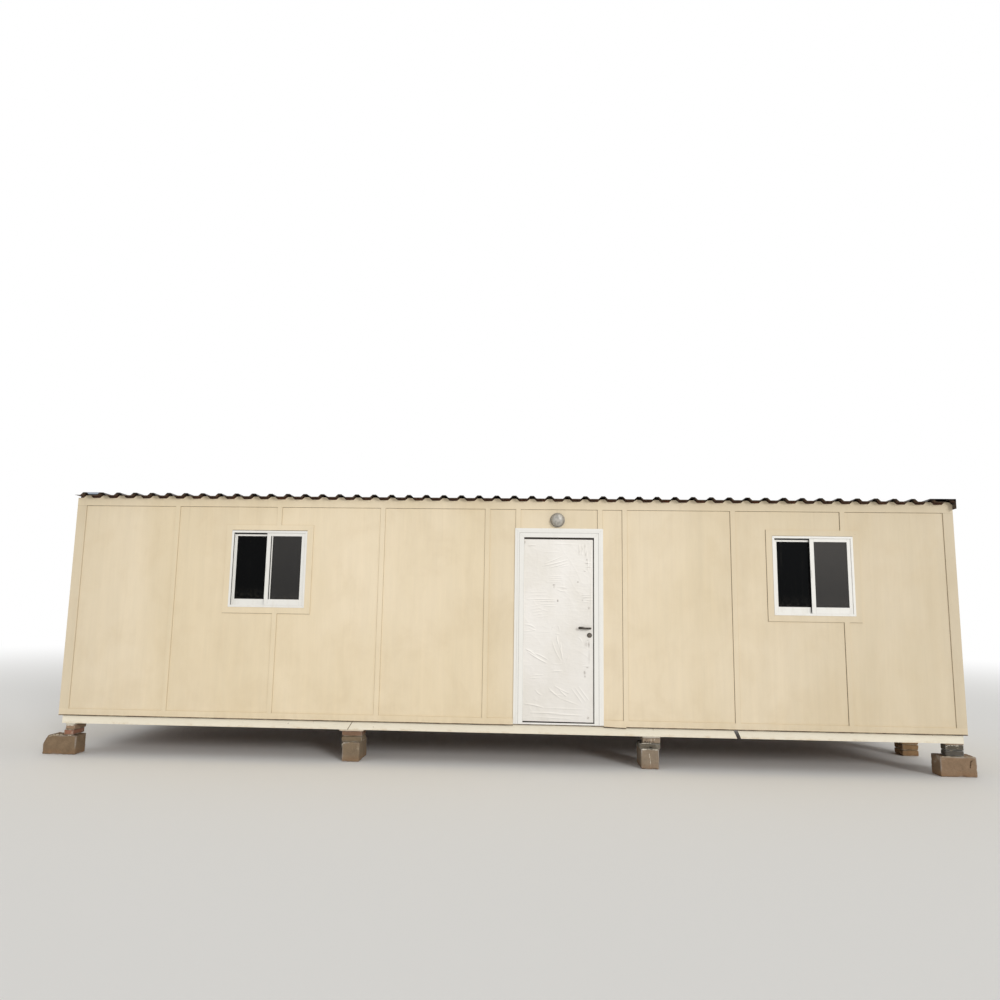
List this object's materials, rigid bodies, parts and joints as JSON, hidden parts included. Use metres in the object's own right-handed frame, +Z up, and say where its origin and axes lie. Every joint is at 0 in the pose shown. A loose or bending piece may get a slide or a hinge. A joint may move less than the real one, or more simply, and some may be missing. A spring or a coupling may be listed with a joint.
{
  "type": "portable site cabin",
  "caption": "Long single-storey site cabin with cream boarded walls, a door, sliding windows and a low ribbed roof, standing on block and brick piers.",
  "frame": {"origin": "on the ground, under the middle of the outline", "axes": "+X along the front wall from left to right as seen from outside, +Y from the front to the rear, +Z up"},
  "size_m": [10.38, 3.16, 3.008],
  "materials": {
    "cream_paint": "satin, chalked by the sun",
    "rail_paint": "satin",
    "white_profile": "satin",
    "filmed_door": "white leaf under wrinkled clear film",
    "tinted_glass": "dark tint",
    "lamp_glass": "grey, dusty",
    "lamp_body": "satin",
    "handle_metal": "satin",
    "hinge_steel": "satin",
    "frame_steel": "matt primer",
    "dark_roof": "weathered matt",
    "floor_board": "matt",
    "concrete": "rough",
    "brick": "rough",
    "timber_packing": "raw"
  },
  "bodies": {
    "cabin": {"front_wall_left": "cream_paint", "front_wall_right": "cream_paint", "front_wall_over_door": "cream_paint", "rear_wall": "cream_paint", "left_end_wall": "cream_paint", "right_end_wall": "cream_paint", "front_cladding": "cream_paint", "rear_cladding": "cream_paint", "end_cladding": "cream_paint", "cover_strips": "cream_paint", "corner_trims": "cream_paint", "head_trims": "cream_paint", "base_trims": "cream_paint", "window_surrounds": "cream_paint", "left_window_frame": "white_profile", "left_window_outer_sash": "white_profile", "left_window_inner_sash": "white_profile", "left_window_glass": "tinted_glass", "right_window_frame": "white_profile", "right_window_outer_sash": "white_profile", "right_window_inner_sash": "white_profile", "right_window_glass": "tinted_glass", "door_frame": "white_profile", "frame_hinges": "hinge_steel", "lamp_base": "lamp_body", "lamp_dome": "lamp_glass", "floor_deck": "floor_board", "front_base_rail": "rail_paint", "rear_base_rail": "rail_paint", "end_base_rails": "rail_paint", "floor_joists": "frame_steel", "ceiling_panel": "white_profile", "roof_frame": "frame_steel", "roof_sheets_under": "dark_roof", "roof_sheets_over": "dark_roof", "verge_flashings": "dark_roof", "pier_blocks": "concrete", "pier_bricks_lower": "brick", "pier_bricks_upper": "brick", "pier_shims": "timber_packing"},
    "door": {"door_leaf": "filmed_door", "leaf_hinges": "hinge_steel", "door_roses": "handle_metal"},
    "lever": {"door_lever": "handle_metal"}
  },
  "joints": [
    {"name": "door_swing", "type": "hinge", "parent": "cabin", "child": "door", "pos_m": [0.2755, -1.448, 1.45], "axis": [0, 0, 1], "range_deg": [0, 90]},
    {"name": "lever_turn", "type": "hinge", "parent": "door", "child": "lever", "pos_m": [1.033, -1.495, 1.52], "axis": [0, -1, 0], "range_deg": [0, 40], "stiffness_Nm_per_rad": 1.2, "springref_deg": -40.11}
  ]
}
